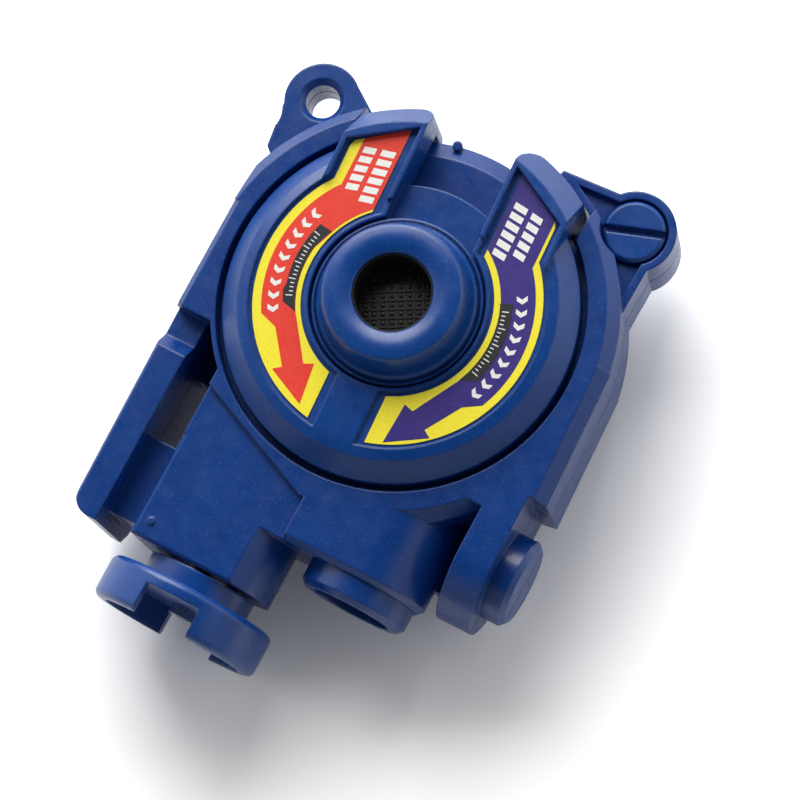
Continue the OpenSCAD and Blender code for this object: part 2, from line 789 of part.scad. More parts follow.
// Label area on the side of the dial that sign picks, drawn in by a margin
module label_body(side, margin, side_margin, h) {
    inner_x = channel_half + label_frame + side_margin;
    outer_x = horn_side - label_frame - margin;
    tip_y = horn_top_r * label_tip_share - margin;
    shoulder_y = horn_top_r * label_shoulder_share - margin;
    slope = (tip_y - shoulder_y) / (outer_x - inner_x);
    mirror([side < 0 ? 1 : 0, 0, 0]) difference() {
        union() {
            cylinder(r = label_out_r - margin, h = h);
            linear_extrude(h) polygon([[0, 0], [0, tip_y + slope * inner_x], [outer_x, shoulder_y],
                [outer_x, 0]]);
        }
        translate([0, 0, -cut]) {
            cylinder(r = label_in_r + margin, h = h + 2 * cut);
            translate([-2 * dial_r, -dial_r, 0])
                cube([2 * dial_r + bridge_half + side_margin, 2 * dial_r, h + 2 * cut]);
            cube([inner_x, 2 * dial_r, h + 2 * cut]);
        }
    }
}

module dial() {
    color(dial_blue) difference() {
        union() {
            rotate([0, 0, dial_travel]) {
                rotate_extrude() polygon([[sleeve_r, dial_under_z], [dial_r, dial_under_z], [dial_r, rim_z],
                    [crest_r, dial_z - small_bevel / 2], [label_out_r, dial_z], [sleeve_r, dial_z]]);
                horns();
            }
            translate([-peg_x, -peg_y, peg_z]) cylinder(r = peg_r, h = dial_under_z - peg_z + cut);
        }
        rotate([0, 0, dial_travel]) dial_cuts();
    }
}

module dial_cuts() {
    // Trench round the hub, and the channel between the horns
    difference() {
        union() {
            translate([0, 0, channel_z]) cylinder(r = trench_r, h = cap_z);
            translate([-channel_half, 0, channel_z]) cube([2 * channel_half, 2 * dial_r, cap_z]);
        }
        cylinder(r = hub_foot_r, h = hub_step_z);
    }
    difference() {
        translate([-channel_half, 0, 0]) cube([2 * channel_half, 2 * dial_r, cap_z]);
        cylinder(r = shelf_r, h = cap_z);
    }
    for (side = [-1, 1]) translate([0, 0, label_z]) label_body(side, 0, 0, cap_z);
    // Flat top of the hub's foot, and the pockets inside it
    translate([0, 0, hub_step_z]) cylinder(r = trench_r, h = cap_z);
    translate([0, 0, post_z - seat_gap]) cylinder(r = washer_r + seat_gap * 2, h = cap_z);
    translate([0, 0, pad_z]) cylinder(r = pad_r + fit, h = cap_z);
}

// The two horns, whose lips hang over the case's rim
module horns() {
    centre_x = channel_half + lip_corner_r;
    centre_y = sqrt(pow(lip_r - lip_corner_r, 2) - pow(centre_x, 2));
    corner_w = lip_corner_r * (1 + centre_x / (lip_r - lip_corner_r));
    difference() {
        rotate_extrude() polygon([[horn_root_r, dial_under_z], [lip_in_r, dial_under_z], [lip_in_r, lip_z],
            [lip_r - wall, lip_z], [lip_r, lip_z + wall / 2], [lip_r, lip_z + lip_wall_h],
            [horn_top_r, horn_z], [horn_root_r, horn_z]]);
        translate([-2 * dial_r, -2 * dial_r, 0]) cube([4 * dial_r, 2 * dial_r, cap_z]);
        translate([-channel_half, 0, 0]) cube([2 * channel_half, 2 * dial_r, cap_z]);
        for (side = [0, 1]) mirror([side, 0, 0]) {
            translate([horn_side, -cut, 0]) cube([2 * dial_r, 2 * dial_r, cap_z]);
            difference() {
                translate([channel_half, centre_y, 0]) cube([corner_w, 2 * dial_r, cap_z]);
                translate([centre_x, centre_y, 0]) cylinder(r = lip_corner_r, h = cap_z);
            }
        }
    }
}

module hub_cap() {
    color(dial_blue) difference() {
        rotate_extrude() difference() {
            union() {
                translate([cap_hole_r, hub_step_z])
                    square([cap_r - cap_hole_r - top_round, cap_z - hub_step_z]);
                translate([cap_hole_r, hub_step_z])
                    square([cap_r - cap_hole_r, cap_z - hub_step_z - top_round]);
                intersection() {
                    translate([cap_r - top_round, cap_z - top_round]) circle(top_round);
                    translate([cap_hole_r, cap_z - top_round]) square(cap_r);
                }
            }
            translate([cap_hole_r - cut, cap_z - mouth_round]) difference() {
                square([mouth_round + cut, mouth_round + cut]);
                translate([mouth_round + cut, 0]) circle(mouth_round);
            }
        }
        translate([0, 0, hub_step_z - cut])
            cylinder(r = pad_r + fit, h = pad_z + pad_h + fit - hub_step_z + cut);
    }
}

module grip_pad() {
    color("#1a1a1c") translate([0, 0, pad_z]) cylinder(r = pad_r, h = pad_h);
}

module right_spin_label() {
    color("#e8402f") rotate([0, 0, dial_travel]) translate([0, 0, label_z])
        label_body(-1, label_margin, label_side_margin, label_t);
}

module left_spin_label() {
    color("#3a2a7e") rotate([0, 0, dial_travel]) translate([0, 0, label_z])
        label_body(1, label_margin, label_side_margin, label_t);
}

// Gate at the slot's upper end. The dial's peg stands in the slot of its post
module spin_gate() {
    post = 2 * gate_post_half;
    color("ivory") difference() {
        union() {
            translate([-gate_x - gate_half, -slot_y - gate_stroke, gate_z])
                cube([2 * gate_half, slot_y + gate_stroke - peg_y, gate_h]);
            translate([-gate_x - gate_half, -peg_y - gate_post_half, gate_z])
                cube([gate_x + gate_half - peg_x + gate_post_half, post, gate_h]);
            translate([-peg_x - gate_post_half, -peg_y - gate_post_half, gate_z])
                cube([post, post, gate_top_z - gate_z]);
        }
        translate([-peg_x - peg_r - gate_slack - peg_drift, -peg_y - peg_r - gate_slack,
            peg_z - 2 * seat_gap])
            cube([2 * (peg_r + gate_slack) + peg_drift, 2 * (peg_r + gate_slack), gate_top_z]);
    }
}

// Spur gear along -Y with a bore, its first tooth at an angle
module spur_gear(teeth, bore_r, turn) {
    rotate([90, 0, 0]) difference() {
        rotate([0, 0, turn]) linear_extrude(gear_face) gear_outline(teeth);
        translate([0, 0, -cut]) cylinder(r = bore_r, h = gear_face + 2 * cut);
    }
}

module drive_gear() {
    color("goldenrod") translate([-drive_x, -gear_y, joint_z]) spur_gear(drive_teeth, axle_r + run_gap, 0);
}

module spindle_gear() {
    color("goldenrod") translate([-spindle_x, -gear_y, joint_z])
        spur_gear(spindle_teeth, shaft_r + fit, 180 + 180 / spindle_teeth);
}

module spindle_shaft() {
    len = shaft_start_y - shaft_end_y;
    color("silver") translate([-spindle_x, shaft_start_y, joint_z]) rotate([90, 0, 0]) difference() {
        cylinder(r = shaft_r, h = len);
        translate([0, 0, len - 3 * wall]) cylinder(r = small_screw_r + run_gap, h = 4 * wall);
    }
}

module spindle_clip() {
    place = [-spindle_x, -bush_y + seat_gap + 2 * thrust_h, joint_z];
    color("silver") translate(place) rotate([90, 0, 0]) difference() {
        cylinder(r = bush_r, h = 2 * thrust_h);
        translate([0, 0, -cut]) cylinder(r = shaft_r + fit, h = wall + 2 * cut);
        translate([-shaft_r * clip_mouth_share, 0, -cut])
            cube([2 * shaft_r * clip_mouth_share, 2 * bush_r, wall + 2 * cut]);
    }
}

module spindle_head() {
    edge = cup_edge;
    len = neck_len + cup_len;
    color(case_blue) translate([-spindle_x, head_y, joint_z]) rotate([90, 0, 0]) difference() {
        rotate_extrude() difference() {
            union() {
                square([neck_r, neck_len + wall]);
                translate([0, neck_len]) square([cup_r - edge, cup_len]);
                translate([0, neck_len + edge]) square([cup_r, cup_len - 2 * edge]);
                for (y = [edge, cup_len - edge]) translate([cup_r - edge, neck_len + y]) circle(edge);
            }
            translate([0, len - cup_depth]) square([cup_bore_r, cup_depth + cut]);
            translate([0, -cut]) square([shaft_r + fit, head_y - shaft_end_y + cut + fit]);
            translate([0, -cut]) square([small_screw_r + run_gap, 2 * cup_len]);
        }
        rotate([0, 0, -notch_turn]) translate([-notch_w / 2, -2 * cup_r, len - cup_depth])
            cube([notch_w, 4 * cup_r, 2 * cup_depth]);
    }
}

// Screw in the cup's floor that holds the head on the shaft
module head_screw() {
    shank = shaft_end_y - cup_floor_y + 2 * wall;
    color("silver") translate([-spindle_x, cup_floor_y, joint_z]) rotate([90, 0, 0]) difference() {
        union() {
            cylinder(r = screw_head_r, h = screw_head_h);
            translate([0, 0, -shank]) cylinder(r = small_screw_r, h = shank);
        }
        translate([0, 0, screw_head_h / 2]) cylinder(r = screw_r, h = screw_head_h, $fn = hex_count);
    }
}

module lock_pin() {
    seat_z = joint_z + lug_half - lug_floor_drop - pin_sink + seat_gap;
    foot_z = joint_z - lug_half;
    edge = small_bevel / 2;
    color(case_blue) translate([lug_x, lug_y, 0]) difference() {
        union() {
            translate([0, 0, foot_z]) cylinder(r = pin_r, h = seat_z - foot_z);
            translate([0, 0, seat_z]) cylinder(r = pin_head_r, h = pin_head_h - edge);
            translate([0, 0, seat_z + pin_head_h - edge])
                cylinder(r1 = pin_head_r, r2 = pin_head_r - edge, h = edge);
        }
        rotate([0, 0, pin_turn])
            translate([-2 * pin_head_r, -pin_slot_w / 2, seat_z + pin_head_h - pin_slot_d])
            cube([4 * pin_head_r, pin_slot_w, pin_head_h]);
    }
}

module lock_pin_clip() {
    color("silver") translate([lug_x, lug_y, joint_z - lug_half]) difference() {
        cylinder(r = pin_head_r - 4 * seat_gap, h = pin_clip_h);
        translate([0, 0, -cut]) cylinder(r = pin_r + fit, h = pin_clip_h + 2 * cut);
    }
}

front_shell();
back_shell();
case_screws();
drive_axle();
inner_spindle_bush();
outer_spindle_bush();
thrust_washer();
socket_tube();
glide_ring();
dial_washer();
dial_screw();
dial();
hub_cap();
grip_pad();
right_spin_label();
left_spin_label();
spin_gate();
drive_gear();
spindle_shaft();
spindle_gear();
spindle_clip();
spindle_head();
head_screw();
lock_pin();
lock_pin_clip();
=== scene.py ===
"""Dresses the spinning top launcher: pearl blue case, horned dial with its two printed labels,
rubber grip pad, spindle head and hardware, on a plain pale table in soft light.

All lengths in the dataclasses are millimetres, and the one factor MM turns them to metres.
"""

from __future__ import annotations

import json
import logging
import math
from dataclasses import dataclass, field
from enum import Enum
from typing import Iterable, Sequence

import bpy
from mathutils import Euler, Matrix, Vector


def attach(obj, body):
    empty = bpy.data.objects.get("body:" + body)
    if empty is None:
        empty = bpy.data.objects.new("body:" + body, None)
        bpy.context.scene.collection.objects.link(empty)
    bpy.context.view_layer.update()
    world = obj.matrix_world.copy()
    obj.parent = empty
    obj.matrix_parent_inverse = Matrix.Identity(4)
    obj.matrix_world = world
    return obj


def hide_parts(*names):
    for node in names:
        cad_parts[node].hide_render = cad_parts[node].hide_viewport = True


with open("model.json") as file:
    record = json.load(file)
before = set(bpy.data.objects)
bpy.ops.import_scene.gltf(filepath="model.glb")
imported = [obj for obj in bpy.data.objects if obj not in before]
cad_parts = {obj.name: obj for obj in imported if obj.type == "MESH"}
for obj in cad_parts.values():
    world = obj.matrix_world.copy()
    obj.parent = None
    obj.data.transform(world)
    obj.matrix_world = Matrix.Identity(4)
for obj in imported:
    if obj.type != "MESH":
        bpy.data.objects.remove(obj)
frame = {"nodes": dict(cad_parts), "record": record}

logging.basicConfig(level=logging.INFO, format="%(name)s: %(message)s")
LOG = logging.getLogger("launcher")

MM = 0.001
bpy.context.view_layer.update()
WHITE = (1.0, 1.0, 1.0, 1.0)
Point = tuple[float, float]
Span = tuple[float, float]
Place = tuple[float, float, float]


class Body(Enum):
    """Bodies of the launcher that its dressed pieces ride on."""

    CASE = "case"
    DIAL = "dial_body"
    GATE = "gate_body"
    SPINDLE = "spindle_body"
    PIN = "pin_body"


class Slot(Enum):
    """Material slots of the record."""

    CASE = "case_plastic"
    DIAL = "dial_plastic"
    NATURAL = "natural_plastic"
    RUBBER = "black_rubber"
    RED = "red_label"
    VIOLET = "violet_label"
    STEEL = "steel"
    BRASS = "brass"


def linear(code: str) -> tuple[float, float, float, float]:
    """Turns an sRGB hex colour to the linear colour that a shader reads.

    Args:
        code: Colour as "#rrggbb".

    Returns:
        Linear red, green and blue, and an alpha of 1.
    """
    values = [int(code[i : i + 2], 16) / 255 for i in (1, 3, 5)]
    bent = [v / 12.92 if v <= 0.04045 else ((v + 0.055) / 1.055) ** 2.4 for v in values]
    return (bent[0], bent[1], bent[2], 1.0)


def fresh_tree(holder: bpy.types.Material | bpy.types.World) -> bpy.types.NodeTree:
    """Switches a material or a world to nodes.

    Args:
        holder: The material or world.

    Returns:
        Its node tree, emptied.
    """
    holder.use_nodes = True
    holder.node_tree.nodes.clear()
    return holder.node_tree


def add_node(
    tree: bpy.types.NodeTree,
    kind: str,
    settings: dict[str, object] | None = None,
    inputs: dict[str | int, object] | None = None,
    stops: Sequence[tuple[float, str]] = (),
) -> bpy.types.Node:
    """Adds a shader node with its settings, input values and links.

    Args:
        tree: Node tree of the material or world.
        kind: Type of the node, such as "ShaderNodeBump".
        settings: Attributes to set on the node.
        inputs: Input name or number to a value, or to an output socket to link from.
        stops: Places from 0 to 1 with their sRGB colours, for a colour ramp.

    Returns:
        The new node.
    """
    node = tree.nodes.new(kind)
    for name, value in (settings or {}).items():
        setattr(node, name, value)
    for key, value in (inputs or {}).items():
        if isinstance(value, bpy.types.NodeSocket):
            tree.links.new(value, node.inputs[key])
        else:
            node.inputs[key].default_value = value
    for i, (place, code) in enumerate(stops):
        element = node.color_ramp.elements[i] if i < 2 else node.color_ramp.elements.new(place)
        element.position, element.color = place, linear(code)
    return node


def calculate(tree: bpy.types.NodeTree, operation: str,
              *values: float | bpy.types.NodeSocket) -> bpy.types.NodeSocket:
    """Adds a maths node.

    Args:
        tree: Node tree of the material or world.
        operation: What it works out, such as "MULTIPLY".
        values: Its inputs in order.

    Returns:
        Socket of the result.
    """
    return add_node(tree, "ShaderNodeMath", {"operation": operation}, dict(enumerate(values))).outputs[0]


def remap(tree: bpy.types.NodeTree, value: bpy.types.NodeSocket, source: Span, target: Span,
          smooth: bool = False) -> bpy.types.NodeSocket:
    """Maps a value from one range to another and stops at the ends.

    Args:
        tree: Node tree of the material or world.
        value: Socket of the value.
        source: Values at which the result starts and stops changing.
        target: Results at these two values.
        smooth: Whether the result eases in and out.

    Returns:
        Socket of the result.
    """
    settings = {"interpolation_type": "SMOOTHSTEP"} if smooth else None
    inputs = {"Value": value, "From Min": source[0], "From Max": source[1],
              "To Min": target[0], "To Max": target[1]}
    return add_node(tree, "ShaderNodeMapRange", settings, inputs).outputs[0]


def noise(tree: bpy.types.NodeTree, place: bpy.types.NodeSocket, grain: float, detail: float,
          roughness: float = 0.5) -> bpy.types.NodeSocket:
    """Adds cloudy noise.

    Args:
        tree: Node tree of the material.
        place: Coordinates in millimetres.
        grain: Size of the largest clouds in millimetres.
        detail: Number of finer layers.
        roughness: Strength of the finer layers.

    Returns:
        Socket of the noise, from 0 to 1.
    """
    inputs = {"Vector": place, "Scale": 1 / grain, "Detail": detail, "Roughness": roughness}
    return add_node(tree, "ShaderNodeTexNoise", None, inputs).outputs["Fac"]


def tint(tree: bpy.types.NodeTree, share: bpy.types.NodeSocket,
         stops: Sequence[tuple[float, str]]) -> bpy.types.NodeSocket:
    """Turns a share to a colour between its stops, given as places with sRGB colours."""
    return add_node(tree, "ShaderNodeValToRGB", None, {"Fac": share}, stops).outputs["Color"]


def blend(tree: bpy.types.NodeTree, share: bpy.types.NodeSocket, first: object,
          second: object) -> bpy.types.NodeSocket:
    """Blends two colours or colour sockets: the first at a share of 0, the second at 1."""
    inputs = {"Factor": share, 6: first, 7: second}
    return add_node(tree, "ShaderNodeMix", {"data_type": "RGBA"}, inputs).outputs[2]


@dataclass(frozen=True)
class Finish:
    """What every finish shares: its name, a fresh material with object coordinates in millimetres,
    and its last two nodes."""

    name: str

    def start(self) -> tuple[bpy.types.Material, bpy.types.NodeTree, bpy.types.NodeSocket]:
        """Makes an empty material.

        Returns:
            The material, its node tree and a socket of object coordinates in millimetres.
        """
        material = bpy.data.materials.new(self.name)
        tree = fresh_tree(material)
        coordinates = add_node(tree, "ShaderNodeTexCoord")
        scaled = add_node(tree, "ShaderNodeMapping", None,
                          {"Vector": coordinates.outputs["Object"], "Scale": (1 / MM, 1 / MM, 1 / MM)})
        return material, tree, scaled.outputs["Vector"]

    @staticmethod
    def close(tree: bpy.types.NodeTree, inputs: dict[str, object]) -> None:
        """Adds the shader with its inputs and links it to the material's output."""
        shader = add_node(tree, "ShaderNodeBsdfPrincipled", None, inputs)
        add_node(tree, "ShaderNodeOutputMaterial", None, {"Surface": shader.outputs[0]})


@dataclass(frozen=True)
class PearlPlastic(Finish):
    """Injection-moulded ABS with a pearl pigment: a deep semi-gloss colour, faint clouds where the
    melt flowed, and fine bright flecks. Moulded edges are slightly round and catch the light."""

    deep: str
    body: str
    light: str
    ior: float = 1.53
    roughness: float = 0.29
    sleeker: float = 0.05
    duller: float = 0.07
    cloud_mm: float = 7.0
    fleck_mm: float = 0.42
    fleck_edge_shares: Span = (0.14, 0.34)
    fleck_bare_share: float = 0.45
    fleck_strength: float = 0.38
    smear_mm: float = 2.4
    peel_mm: float = 0.7
    peel_depth: float = 0.05
    peel_strength: float = 0.05
    edge_mm: float = 0.4
    # seam_*: painted shade of the hairline crack along the parting line at height seam_z, not a coloured
    # joint
    seam_z: float | None = None
    seam_mm: float = 0.16
    seam_edge_shares: Span = (0.3, 0.7)
    seam_left: float = 0.06
    seam_shade_code: str = "#05070c"

    def flecks(self, tree: bpy.types.NodeTree, place: bpy.types.NodeSocket) -> bpy.types.NodeSocket:
        """Finds the flecks of pearl pigment, about 0.2 mm across and each of its own brightness.

        Args:
            tree: Node tree of the material.
            place: Object coordinates in millimetres.

        Returns:
            Share of the fleck's colour.
        """
        cells = add_node(tree, "ShaderNodeTexVoronoi", None,
                         {"Vector": place, "Scale": 1 / self.fleck_mm, "Randomness": 1.0})
        spot = remap(tree, cells.outputs["Distance"], self.fleck_edge_shares, (1.0, 0.0), smooth=True)
        chance = add_node(tree, "ShaderNodeSeparateColor", None, {"Color": cells.outputs["Color"]})
        bright = remap(tree, chance.outputs[0], (self.fleck_bare_share, 1.0), (0.0, self.fleck_strength))
        return calculate(tree, "MULTIPLY", spot, bright)

    def gloss(self, tree: bpy.types.NodeTree, place: bpy.types.NodeSocket) -> bpy.types.NodeSocket:
        """Varies the roughness in the faint smears that handling leaves."""
        sleek, dull = self.roughness - self.sleeker, self.roughness + self.duller
        return remap(tree, noise(tree, place, self.smear_mm, 5.0, 0.65), (0.3, 0.7), (sleek, dull))

    def relief(self, tree: bpy.types.NodeTree, place: bpy.types.NodeSocket) -> bpy.types.NodeSocket:
        """Rounds the moulded edges and adds the faint waves of a moulded face.

        Args:
            tree: Node tree of the material.
            place: Object coordinates in millimetres.

        Returns:
            Socket of the normal.
        """
        edge = add_node(tree, "ShaderNodeBevel", {"samples": 6}, {"Radius": self.edge_mm * MM})
        inputs = {"Height": noise(tree, place, self.peel_mm, 2.0), "Strength": self.peel_strength,
                  "Distance": self.peel_depth * MM, "Normal": edge.outputs[0]}
        return add_node(tree, "ShaderNodeBump", None, inputs).outputs[0]

    def seam(self, tree: bpy.types.NodeTree, place: bpy.types.NodeSocket) -> bpy.types.NodeSocket:
        """Paints the shade of the hairline crack where the two shells meet, as a dark line on the upright
        faces only.

        Args:
            tree: Node tree of the material.
            place: Object coordinates in millimetres.

        Returns:
            A share that is 1 away from the line and nearly 0 on it.
        """
        height = add_node(tree, "ShaderNodeSeparateXYZ", None, {"Vector": place}).outputs["Z"]
        gap = calculate(tree, "ABSOLUTE", calculate(tree, "SUBTRACT", height, self.seam_z))
        near, far = (share * self.seam_mm for share in self.seam_edge_shares)
        away = remap(tree, gap, (near, far), (self.seam_left, 1.0), smooth=True)
        facing = add_node(tree, "ShaderNodeNewGeometry").outputs["True Normal"]
        slope = add_node(tree, "ShaderNodeSeparateXYZ", None, {"Vector": facing}).outputs["Z"]
        level = calculate(tree, "GREATER_THAN", calculate(tree, "ABSOLUTE", slope), 0.5)
        return calculate(tree, "MAXIMUM", away, level)

    def build(self) -> bpy.types.Material:
        """Builds the material.

        Returns:
            The material.
        """
        material, tree, place = self.start()
        cloud = noise(tree, place, self.cloud_mm, 4.0, 0.6)
        tone = tint(tree, cloud, [(0.3, self.deep), (0.7, self.body)])
        colour = blend(tree, self.flecks(tree, place), tone, linear(self.light))
        inputs = {"Base Color": colour, "Roughness": self.gloss(tree, place), "IOR": self.ior,
                  "Normal": self.relief(tree, place)}
        if self.seam_z is not None:
            # Painted shade of the parting crack: darker colour and halved specular along the line.
            away = self.seam(tree, place)
            inputs["Base Color"] = blend(tree, away, linear(self.seam_shade_code), colour)
            inputs["Specular IOR Level"] = calculate(tree, "MULTIPLY", away, 0.5)
        self.close(tree, inputs)
        return material


@dataclass(frozen=True)
class PrintedFoil(Finish):
    """Printed and laminated label foil: flat ink with a fine dot screen under a satin film."""

    ink: str
    shade: str
    ior: float = 1.5
    roughness: float = 0.38
    spread: float = 0.08
    grain_mm: float = 0.25
    rub_mm: float = 3.0

    def build(self) -> bpy.types.Material:
        """Builds the material.

        Returns:
            The material.
        """
        material, tree, place = self.start()
        grain = noise(tree, place, self.grain_mm, 3.0, 0.7)
        gloss = remap(tree, noise(tree, place, self.rub_mm, 4.0), (0.0, 1.0),
                      (self.roughness - self.spread, self.roughness + self.spread))
        self.close(tree, {"Base Color": tint(tree, grain, [(0.35, self.shade), (0.55, self.ink)]),
                          "Roughness": gloss, "IOR": self.ior})
        return material


@dataclass(frozen=True)
class MouldedRubber(Finish):
    """Moulded synthetic rubber: nearly black, matt, with a dusty grain."""

    dark: str = "#070709"
    dust: str = "#19191c"
    ior: float = 1.52
    roughness: float = 0.5
    grain_mm: float = 0.5
    grain_depth: float = 0.05
    grain_strength: float = 0.15

    def build(self) -> bpy.types.Material:
        """Builds the material.

        Returns:
            The material.
        """
        material, tree, place = self.start()
        grain = noise(tree, place, self.grain_mm, 4.0, 0.7)
        bump = add_node(tree, "ShaderNodeBump", None, {
            "Height": grain, "Strength": self.grain_strength, "Distance": self.grain_depth * MM})
        self.close(tree, {"Base Color": tint(tree, grain, [(0.35, self.dark), (0.75, self.dust)]),
                          "Roughness": self.roughness, "IOR": self.ior, "Normal": bump.outputs[0]})
        return material


@dataclass(frozen=True)
class TurnedMetal(Finish):
    """Turned or stamped metal with fine tool marks: bright, with a slightly streaked gloss."""

    metal: str
    roughness: float = 0.28
    brighter: float = 0.08
    duller: float = 0.12
    mark_mm: float = 0.3

    def build(self) -> bpy.types.Material:
        """Builds the material.

        Returns:
            The material.
        """
        material, tree, place = self.start()
        gloss = remap(tree, noise(tree, place, self.mark_mm, 3.0, 0.7), (0.0, 1.0),
                      (self.roughness - self.brighter, self.roughness + self.duller))
        self.close(tree, {"Base Color": linear(self.metal), "Metallic": 1.0, "Roughness": gloss})
        return material


@dataclass(frozen=True)
class NaturalNylon(Finish):
    """Unpigmented nylon: creamy, waxy and slightly cloudy."""

    light: str = "#ece6d4"
    shade: str = "#d9d1bb"
    ior: float = 1.53
    roughness: float = 0.42
    cloud_mm: float = 2.0
    edge_mm: float = 0.12

    def build(self) -> bpy.types.Material:
        """Builds the material.

        Returns:
            The material.
        """
        material, tree, place = self.start()
        cloud = noise(tree, place, self.cloud_mm, 3.0)
        edge = add_node(tree, "ShaderNodeBevel", {"samples": 4}, {"Radius": self.edge_mm * MM})
        self.close(tree, {"Base Color": tint(tree, cloud, [(0.35, self.shade), (0.65, self.light)]),
                          "Roughness": self.roughness, "IOR": self.ior, "Normal": edge.outputs[0]})
        return material


@dataclass
class Finishes:
    """The launcher's materials, each built once."""

    case: bpy.types.Material = field(init=False)
    dial: bpy.types.Material = field(init=False)
    natural: bpy.types.Material = field(init=False)
    rubber: bpy.types.Material = field(init=False)
    steel: bpy.types.Material = field(init=False)
    brass: bpy.types.Material = field(init=False)
    yellow: bpy.types.Material = field(init=False)
    red: bpy.types.Material = field(init=False)
    violet: bpy.types.Material = field(init=False)
    black: bpy.types.Material = field(init=False)
    white: bpy.types.Material = field(init=False)

    def __post_init__(self) -> None:
        """Builds each material."""
        # The case gets a painted shade line along its parting line at 12.8 mm.
        self.case = PearlPlastic("pearl_abs_case", "#05347a", "#0a3d86", "#3f86b8", seam_z=12.8).build()
        self.dial = PearlPlastic("pearl_abs_dial", "#07397f", "#0d438e", "#4189bc").build()
        self.natural = NaturalNylon("natural_nylon").build()
        self.rubber = MouldedRubber("moulded_rubber").build()
        self.steel = TurnedMetal("plated_steel", "#c3c6c9").build()
        self.brass = TurnedMetal("turned_brass", "#c9a35c").build()
        self.yellow = PrintedFoil("yellow_foil", "#fff03a", "#f6e22c").build()
        self.red = PrintedFoil("red_foil", "#ee4230", "#e03324").build()
        self.violet = PrintedFoil("violet_foil", "#3b2b84", "#2f2270").build()
        self.black = PrintedFoil("black_foil", "#2a2c2e", "#1f2123").build()
        self.white = PrintedFoil("white_foil", "#f6f4ee", "#e9e7e0").build()

    def of(self, slot: Slot) -> bpy.types.Material:
        """Returns the material of a record's slot."""
        return {
            Slot.CASE: self.case, Slot.DIAL: self.dial, Slot.NATURAL: self.natural,
            Slot.RUBBER: self.rubber, Slot.RED: self.red, Slot.VIOLET: self.violet,
            Slot.STEEL: self.steel, Slot.BRASS: self.brass,
        }[slot]


def deselect_all() -> None:
    """Leaves object mode with nothing selected."""
    if bpy.context.object and bpy.context.object.mode != "OBJECT":
        bpy.ops.object.mode_set(mode="OBJECT")
    bpy.ops.object.select_all(action="DESELECT")


def pick(piece: bpy.types.Object) -> None:
    """Makes one piece the only selected and the active one."""
    deselect_all()
    piece.select_set(True)
    bpy.context.view_layer.objects.active = piece


def settle(piece: bpy.types.Object) -> None:
    """Moves a piece's place into its mesh, so that its object sits at the origin."""
    pick(piece)
    bpy.ops.object.transform_apply(location=True, rotation=True, scale=True)


def weld(piece: bpy.types.Object, distance: float = 0.001, outwards: bool = True) -> None:
    """Merges the doubled points of a piece.

    Args:
        piece: The piece.
        distance: Points that are closer than this many millimetres become one.
        outwards: Whether its faces are turned outwards too.
    """
    pick(piece)
    bpy.ops.object.mode_set(mode="EDIT")
    bpy.ops.mesh.select_all(action="SELECT")
    bpy.ops.mesh.remove_doubles(threshold=distance * MM)
    if outwards:
        bpy.ops.mesh.normals_make_consistent(inside=False)
    bpy.ops.object.mode_set(mode="OBJECT")


def shade_smooth(angle: float) -> None:
    """Shades the active piece smooth, but for edges sharper than an angle in degrees."""
    bpy.ops.object.shade_smooth_by_angle(angle=math.radians(angle))


def seat(piece: bpy.types.Object, material: bpy.types.Material, body: Body,
         replaces: Sequence[str] = ()) -> bpy.types.Object:
    """Gives a finished piece its material and body, and hides the nodes that it stands for.

    Args:
        piece: The finished piece.
        material: Its finish.
        body: Body that it moves with.
        replaces: Nodes that it stands for.

    Returns:
        The piece.
    """
    piece.data.materials.clear()
    piece.data.materials.append(material)
    settle(piece)
    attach(piece, body.value)
    if replaces:
        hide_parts(*replaces)
    LOG.info("%s rides on %s", piece.name, body.value)
    return piece


@dataclass
class MouldedPart:
    """A CAD node shown by a merged copy, so that its round faces shade smoothly."""

    node: str
    body: Body
    slot: Slot
    smooth_angle: float = 28.0
    merge: float = 0.002

    def build(self, finishes: Finishes) -> bpy.types.Object:
        """Copies the node, merges its loose triangles and smooths its round faces.

        Args:
            finishes: The launcher's materials.

        Returns:
            The copy, which stands for the node.
        """
        source = frame["nodes"][self.node]
        piece = source.copy()
        piece.data = source.data.copy()
        piece.name = f"{self.node}_moulding"
        for key in list(piece.keys()):
            del piece[key]
        piece.parent = None
        bpy.context.scene.collection.objects.link(piece)
        pick(piece)
        if piece.data.has_custom_normals:
            bpy.ops.mesh.customdata_custom_splitnormals_clear()
        weld(piece, self.merge, outwards=False)
        shade_smooth(self.smooth_angle)
        return seat(piece, finishes.of(self.slot), self.body, [self.node])


def polar(radius: float, angle: float, centre: Point = (0.0, 0.0)) -> Point:
    """Returns the point at a radius and an angle in degrees from a centre."""
    turn = math.radians(angle)
    return (centre[0] + radius * math.cos(turn), centre[1] + radius * math.sin(turn))


def arc(radius: float, start: float, end: float, step: float = 2.0) -> list[Point]:
    """Points along an arc round the dial's axis.

    Args:
        radius: Radius of the arc in millimetres.
        start: First angle in degrees from the dial's right.
        end: Last angle in degrees.
        step: Greatest angle between two points.

    Returns:
        The points, both ends included.
    """
    count = max(1, math.ceil(abs(end - start) / step))
    return [polar(radius, start + (end - start) * i / count) for i in range(count + 1)]


def corner(centre: Point, radius: float, start: float, end: float, count: int) -> list[Point]:
    """Points of a round corner in a profile.

    Args:
        centre: Radius and height of the corner's centre in millimetres.
        radius: Radius of the corner.
        start: First angle in degrees.
        end: Last angle in degrees.
        count: Steps along the corner.

    Returns:
        The points, both ends included.
    """
    return [polar(radius, start + (end - start) * i / count, centre) for i in range(count + 1)]


